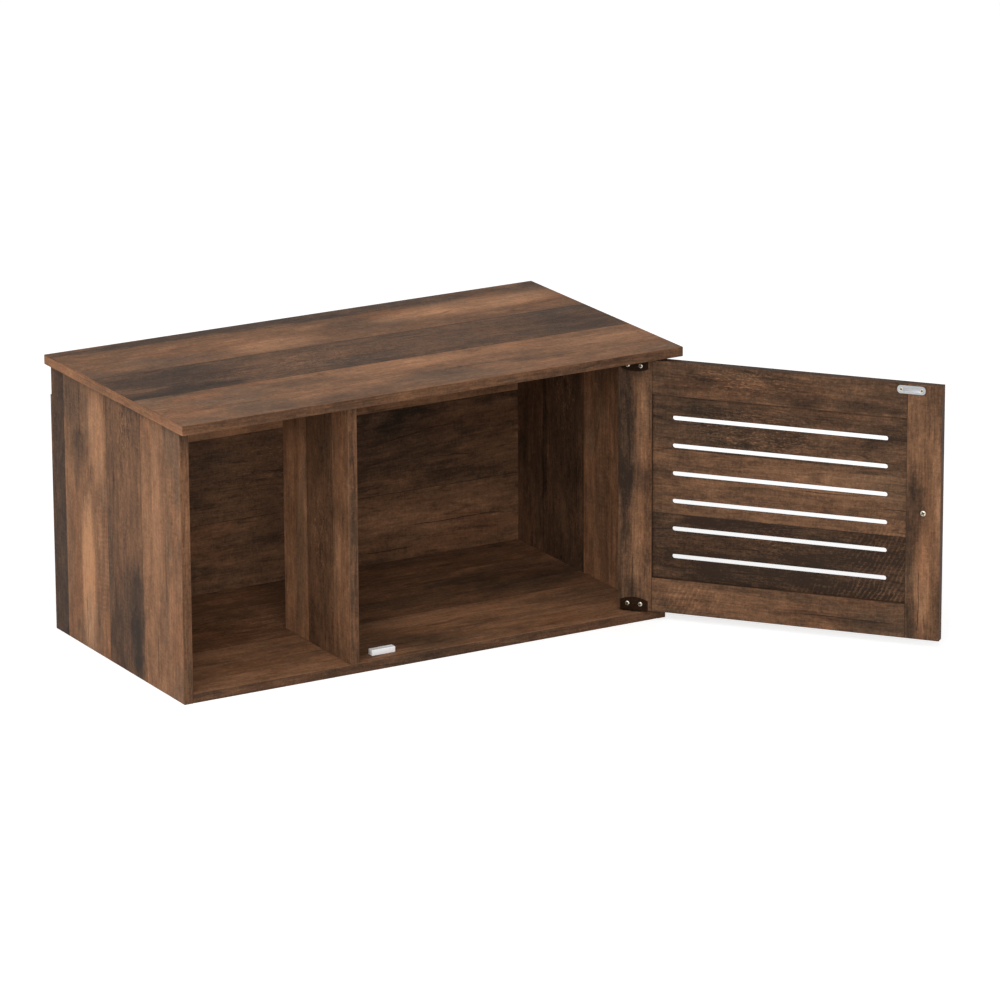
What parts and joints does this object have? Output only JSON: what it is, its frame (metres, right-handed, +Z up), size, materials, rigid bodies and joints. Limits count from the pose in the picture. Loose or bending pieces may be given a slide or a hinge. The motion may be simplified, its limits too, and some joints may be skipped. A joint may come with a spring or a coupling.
{
  "type": "cat litter box cabinet",
  "caption": "Low wooden cabinet that hides a cat litter box: open entry bay, passage behind a short divider, and a litter bay with a slotted, pivot-hinged frame door.",
  "frame": {"origin": "middle of the cabinet body's footprint, on the floor, at the underside of the bottom panel", "axes": "+Z up, -Y out of the front, +X to the right of someone who faces the front"},
  "size_m": [1.1841, 0.8379, 0.462],
  "materials": {
    "brown_laminate": "satin printed wood grain",
    "black_steel": "satin black",
    "black_nylon": "matte",
    "white_plastic": "moulded satin",
    "nickel_steel": "nickel plated",
    "zinc_alloy": "die cast",
    "ferrite": "sintered",
    "beech": "bare wood"
  },
  "bodies": {
    "cabinet": {"back_panel": "brown_laminate", "back_rail": "brown_laminate", "bottom_panel": "brown_laminate", "cam_bolt_bottom_left_front": "nickel_steel", "cam_bolt_bottom_left_rear": "nickel_steel", "cam_bolt_bottom_right_front": "nickel_steel", "cam_bolt_bottom_right_rear": "nickel_steel", "cam_bolt_divider_foot": "nickel_steel", "cam_bolt_divider_head": "nickel_steel", "cam_bolt_top_left_front": "nickel_steel", "cam_bolt_top_left_rear": "nickel_steel", "cam_bolt_top_right_front": "nickel_steel", "cam_bolt_top_right_rear": "nickel_steel", "cam_lock_bottom_left_front": "zinc_alloy", "cam_lock_bottom_left_rear": "zinc_alloy", "cam_lock_bottom_right_front": "zinc_alloy", "cam_lock_bottom_right_rear": "zinc_alloy", "cam_lock_divider_foot": "zinc_alloy", "cam_lock_divider_head": "zinc_alloy", "cam_lock_top_left_front": "zinc_alloy", "cam_lock_top_left_rear": "zinc_alloy", "cam_lock_top_right_front": "zinc_alloy", "cam_lock_top_right_rear": "zinc_alloy", "divider_panel": "brown_laminate", "dowel_back_rail_left": "beech", "dowel_back_rail_right": "beech", "dowel_divider_foot": "beech", "dowel_divider_head": "beech", "left_side_panel": "brown_laminate", "lower_catch_housing": "white_plastic", "lower_catch_magnet": "ferrite", "lower_pivot_bush": "black_nylon", "right_side_panel": "brown_laminate", "top_panel": "brown_laminate", "upper_catch_housing": "white_plastic", "upper_catch_magnet": "ferrite", "upper_pivot_bush": "black_nylon"},
    "door": {"door_bottom_rail": "brown_laminate", "door_handle_stile": "brown_laminate", "door_hinge_stile": "brown_laminate", "door_knob": "black_steel", "door_knob_screw": "nickel_steel", "door_slotted_panel": "brown_laminate", "door_top_rail": "brown_laminate", "dowel_door_bottom_handle_side": "beech", "dowel_door_bottom_hinge_side": "beech", "dowel_door_top_handle_side": "beech", "dowel_door_top_hinge_side": "beech", "lower_hinge_bracket": "black_steel", "lower_hinge_pin": "nickel_steel", "lower_hinge_screw_1": "nickel_steel", "lower_hinge_screw_2": "nickel_steel", "strike_plate": "nickel_steel", "strike_plate_screw_rail": "nickel_steel", "strike_plate_screw_stile": "nickel_steel", "upper_hinge_bracket": "black_steel", "upper_hinge_pin": "nickel_steel", "upper_hinge_screw_1": "nickel_steel", "upper_hinge_screw_2": "nickel_steel"}
  },
  "joints": [
    {"name": "door_hinge", "type": "hinge", "parent": "cabinet", "child": "door", "pos_m": [0.3904, -0.212, 0.02], "axis": [0, 0, 1], "range_deg": [-130, 10]}
  ]
}
